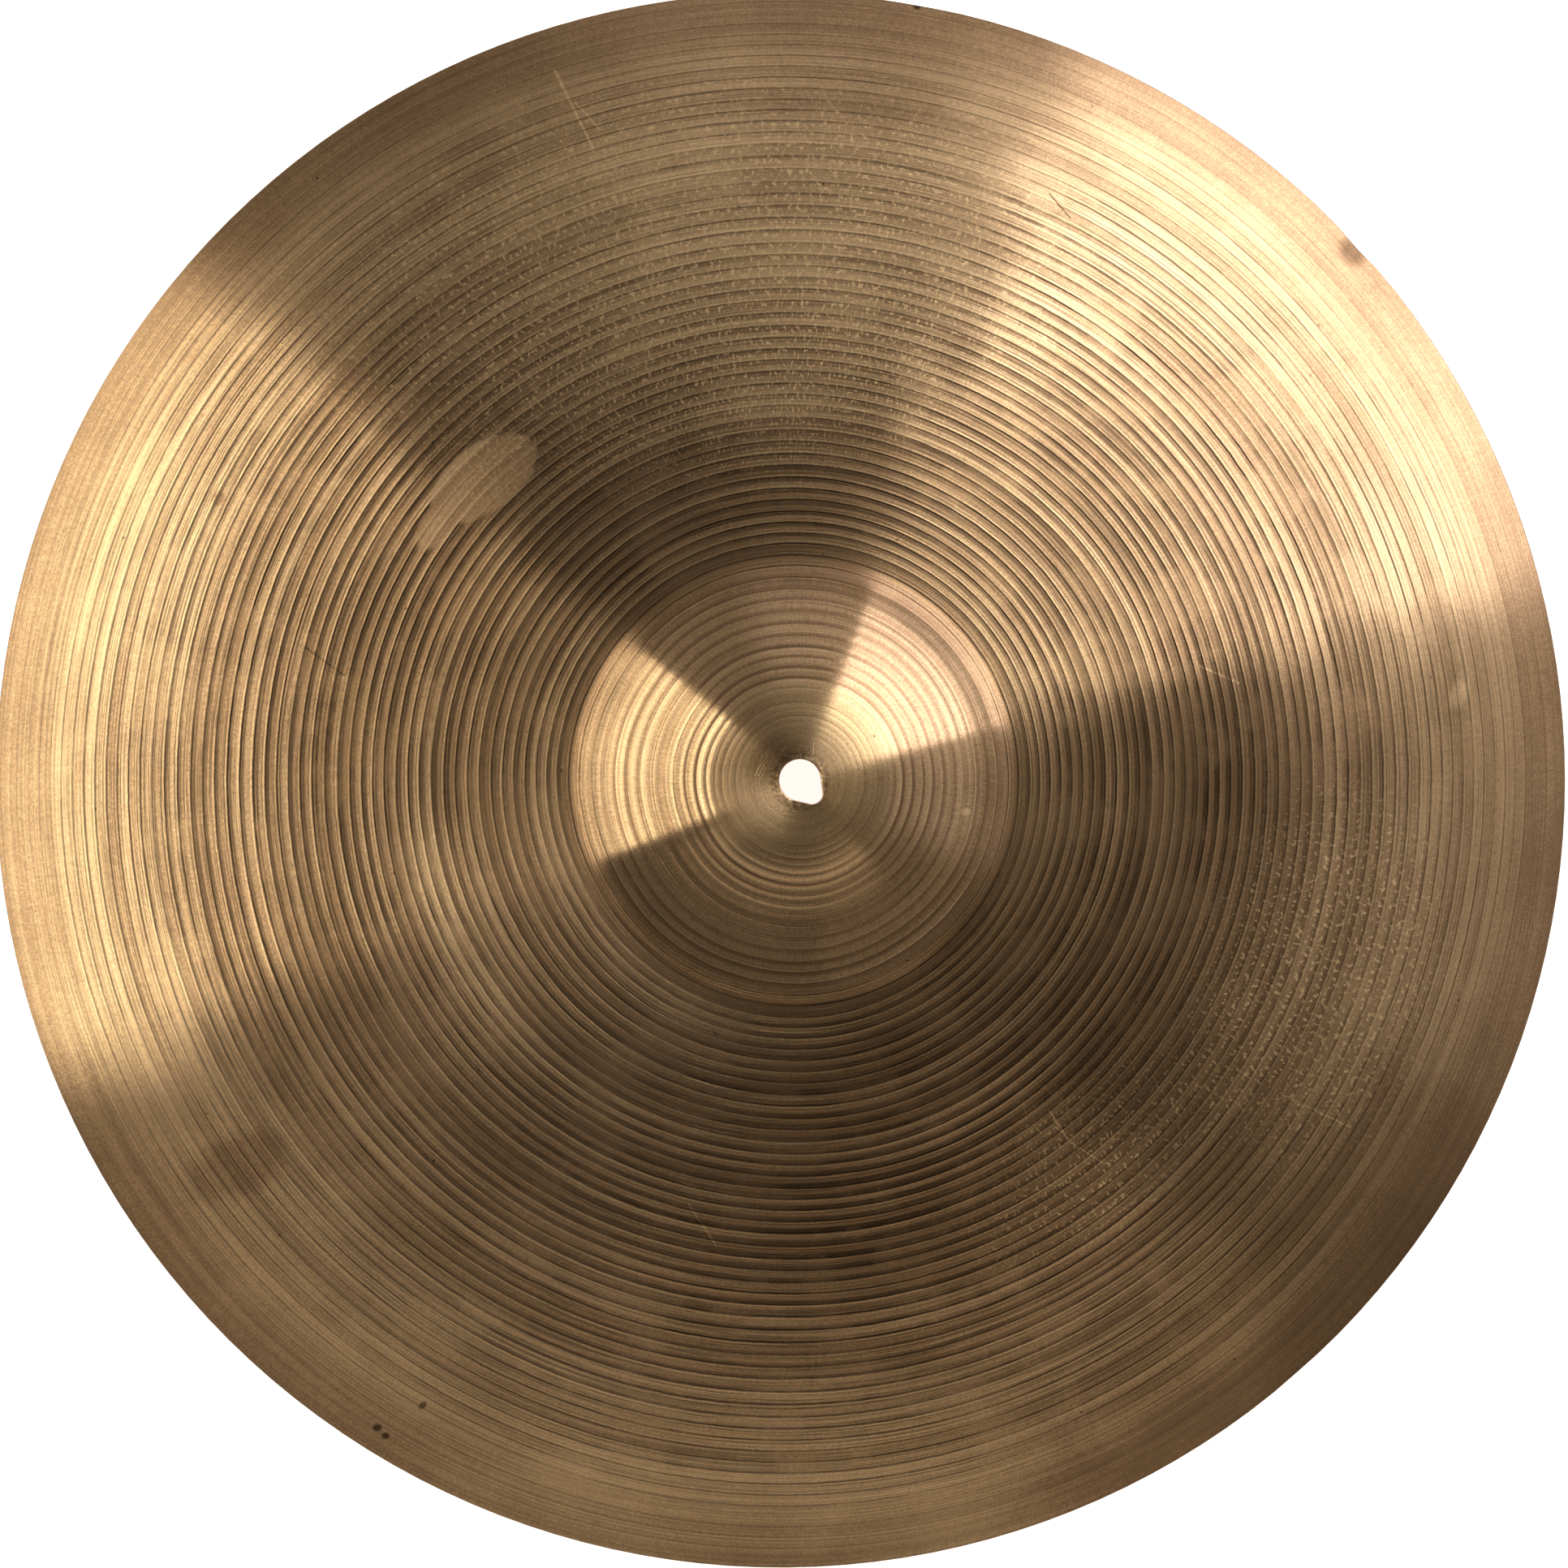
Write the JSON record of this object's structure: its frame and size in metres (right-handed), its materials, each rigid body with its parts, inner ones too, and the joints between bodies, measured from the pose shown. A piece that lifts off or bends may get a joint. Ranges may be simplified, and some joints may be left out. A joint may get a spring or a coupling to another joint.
{
  "type": "crash cymbal",
  "caption": "Thin domed bronze disc with a raised bell, lathed grooves and a central mounting hole, struck with a stick to sound a crash.",
  "frame": {"origin": "on the axis of the mounting hole, in the plane that the rim rests on", "axes": "+Z along the mounting hole's axis, from the open underside out through the top of the bell; the hole's worn notch points 48 degrees from +X towards -Y"},
  "size_m": [0.4572, 0.4572, 0.0447],
  "materials": {
    "bronze": "lathed bell bronze with fine concentric grooves, an even brown patina and stick wear"
  },
  "bodies": {
    "root": {"cymbal": "bronze"}
  },
  "joints": []
}
